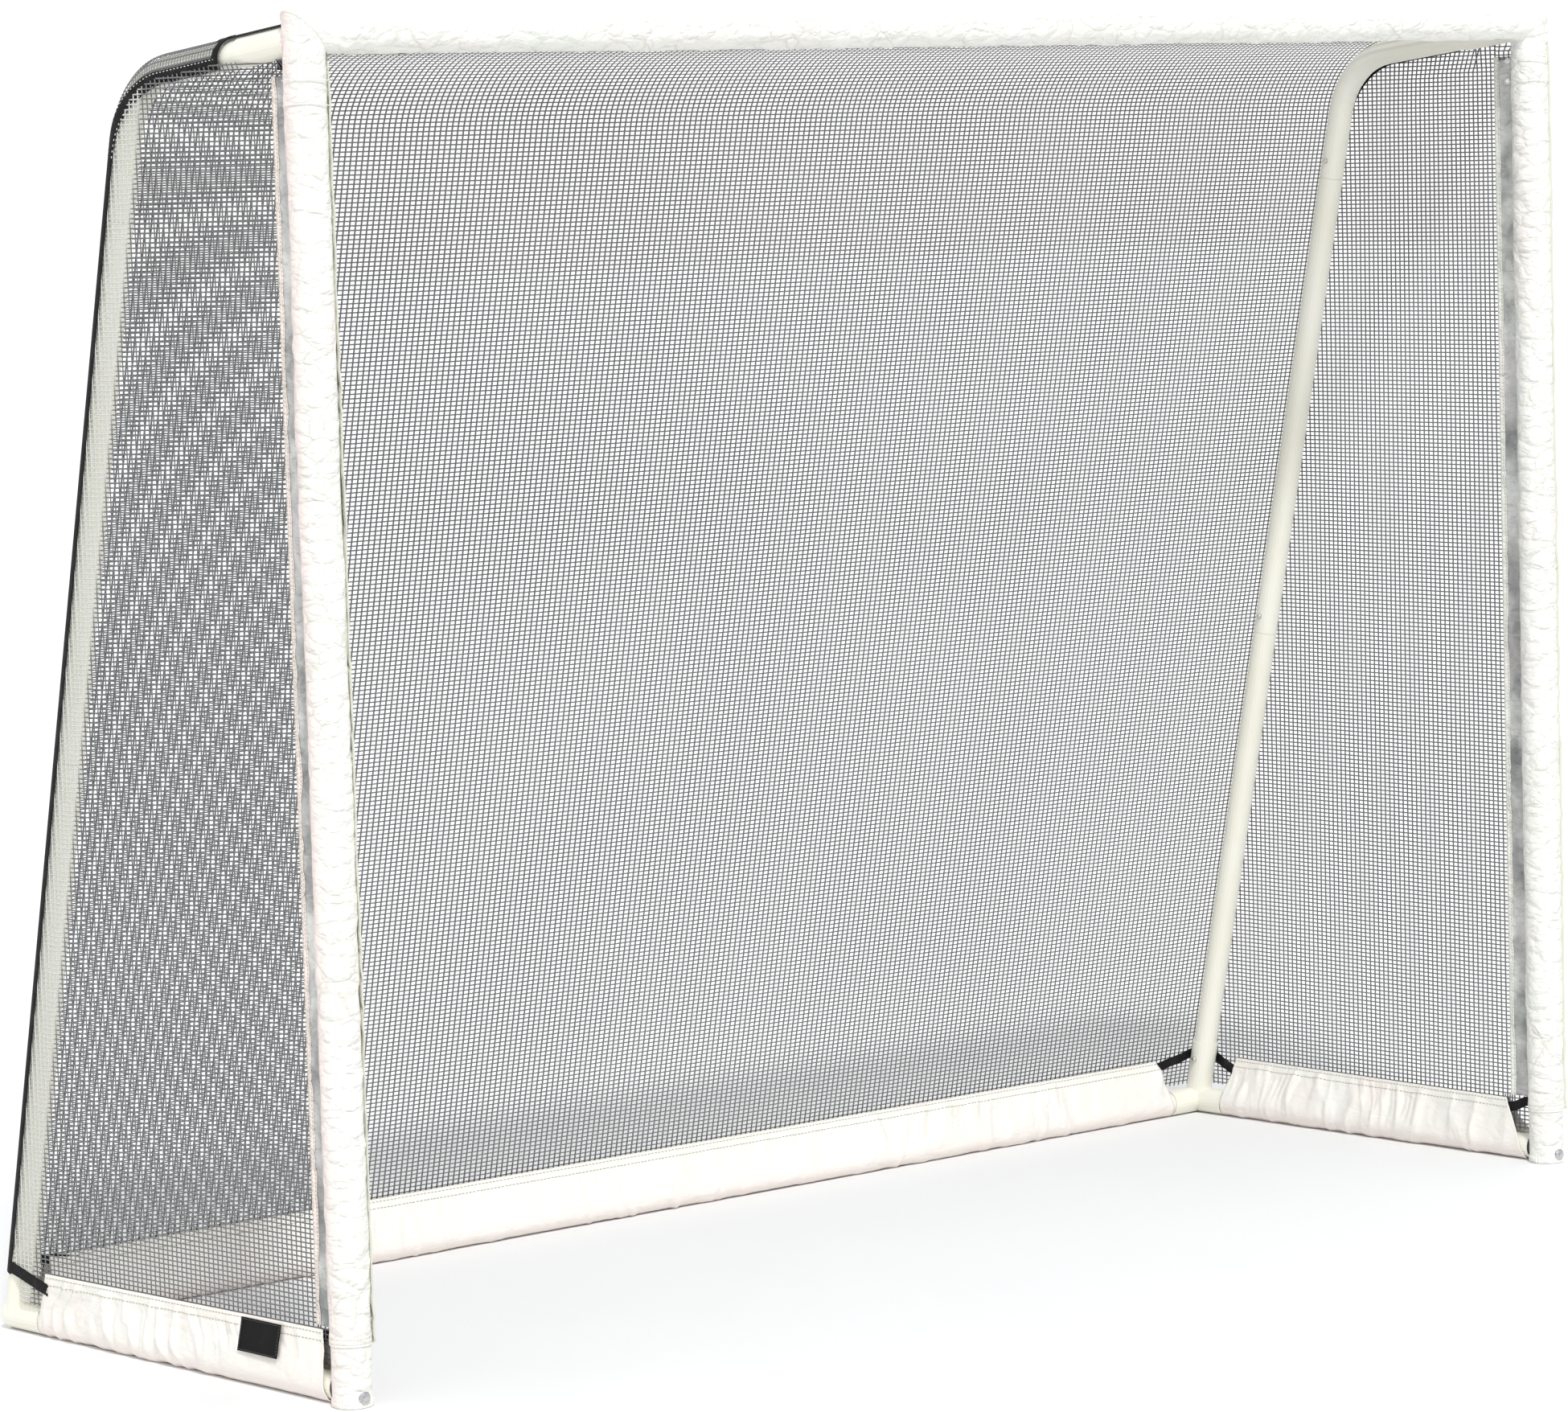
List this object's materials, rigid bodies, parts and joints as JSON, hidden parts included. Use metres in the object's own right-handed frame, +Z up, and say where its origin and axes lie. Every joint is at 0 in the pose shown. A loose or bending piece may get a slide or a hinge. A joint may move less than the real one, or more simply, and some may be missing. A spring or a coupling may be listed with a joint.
{
  "type": "hockey goal net",
  "caption": "Portable hockey goal: white knock-down steel tube frame with fabric-sleeved posts and crossbar, leaning rear uprights, a dark mesh net and white ground skirts.",
  "frame": {"origin": "on the floor, under the middle of the goal's bounding box", "axes": "+X along the crossbar to the right seen from the front, +Y from the mouth to the back, +Z up"},
  "size_m": [2.4452, 0.8282, 1.83],
  "materials": {
    "white_tube": "glossy white powder coat",
    "white_sleeve": "coated white woven fabric, slight sheen",
    "white_skirt": "coated white woven fabric, gathered",
    "dark_net": "dark grey knitted mesh",
    "black_webbing": "matt black woven webbing",
    "bright_chrome": "polished",
    "spring_steel": "bright zinc",
    "white_plastic": "moulded, smooth",
    "grey_plastic": "moulded",
    "black_label": "woven, matt"
  },
  "bodies": {
    "frame": {"top_corner_left": "white_tube", "top_corner_right": "white_tube", "post_upper_left": "white_tube", "post_upper_right": "white_tube", "post_lower_left": "white_tube", "post_lower_right": "white_tube", "rear_bend_tube_left": "white_tube", "rear_bend_tube_right": "white_tube", "rear_upright_middle_left": "white_tube", "rear_upright_middle_right": "white_tube", "rear_upright_lower_left": "white_tube", "rear_upright_lower_right": "white_tube", "base_corner_left": "white_tube", "base_corner_right": "white_tube", "side_base_tube_left": "white_tube", "side_base_tube_right": "white_tube", "back_base_tube_left": "white_tube", "back_base_tube_right": "white_tube", "post_sleeve_left": "white_sleeve", "post_sleeve_right": "white_sleeve", "net_hem_left": "white_sleeve", "net_hem_right": "white_sleeve", "net_side_left": "dark_net", "net_side_right": "dark_net", "seam_webbing_left": "black_webbing", "seam_webbing_right": "black_webbing", "rear_strap_left": "black_webbing", "rear_strap_right": "black_webbing", "front_strap_left": "black_webbing", "front_strap_right": "black_webbing", "foot_bolt_left": "bright_chrome", "foot_bolt_right": "bright_chrome", "foot_cap_left": "white_plastic", "foot_cap_right": "white_plastic", "net_tie_left": "white_plastic", "net_tie_right": "white_plastic", "base_end_plug_left": "grey_plastic", "base_end_plug_right": "grey_plastic", "snap_spring_upper_left": "spring_steel", "snap_spring_upper_right": "spring_steel", "snap_spring_middle_left": "spring_steel", "snap_spring_middle_right": "spring_steel", "snap_spring_lower_left": "spring_steel", "snap_spring_lower_right": "spring_steel", "skirt_left": "white_skirt", "skirt_right": "white_skirt", "skirt_back": "white_skirt", "crossbar_left": "white_tube", "crossbar_middle": "white_tube", "crossbar_right": "white_tube", "crossbar_sleeve": "white_sleeve", "net_back": "dark_net", "net_top": "dark_net", "label_patch": "black_label"},
    "button_upper_left": {"snap_button_upper_left": "spring_steel"},
    "button_upper_right": {"snap_button_upper_right": "spring_steel"},
    "button_middle_left": {"snap_button_middle_left": "spring_steel"},
    "button_middle_right": {"snap_button_middle_right": "spring_steel"},
    "button_lower_left": {"snap_button_lower_left": "spring_steel"},
    "button_lower_right": {"snap_button_lower_right": "spring_steel"}
  },
  "joints": [
    {"name": "press_button_upper_left", "type": "slide", "parent": "frame", "child": "button_upper_left", "axis": [-1, 0, 0], "range_m": [0, 0.0062], "stiffness_N_per_m": 1200, "springref_m": -0.006, "deforming": ["snap_spring_upper_left"]},
    {"name": "press_button_upper_right", "type": "slide", "parent": "frame", "child": "button_upper_right", "axis": [1, 0, 0], "range_m": [0, 0.0062], "stiffness_N_per_m": 1200, "springref_m": -0.006, "deforming": ["snap_spring_upper_right"]},
    {"name": "press_button_middle_left", "type": "slide", "parent": "frame", "child": "button_middle_left", "axis": [-1, 0, 0], "range_m": [0, 0.0062], "stiffness_N_per_m": 1200, "springref_m": -0.006, "deforming": ["snap_spring_middle_left"]},
    {"name": "press_button_middle_right", "type": "slide", "parent": "frame", "child": "button_middle_right", "axis": [1, 0, 0], "range_m": [0, 0.0062], "stiffness_N_per_m": 1200, "springref_m": -0.006, "deforming": ["snap_spring_middle_right"]},
    {"name": "press_button_lower_left", "type": "slide", "parent": "frame", "child": "button_lower_left", "axis": [-1, 0, 0], "range_m": [0, 0.0062], "stiffness_N_per_m": 1200, "springref_m": -0.006, "deforming": ["snap_spring_lower_left"]},
    {"name": "press_button_lower_right", "type": "slide", "parent": "frame", "child": "button_lower_right", "axis": [1, 0, 0], "range_m": [0, 0.0062], "stiffness_N_per_m": 1200, "springref_m": -0.006, "deforming": ["snap_spring_lower_right"]}
  ]
}
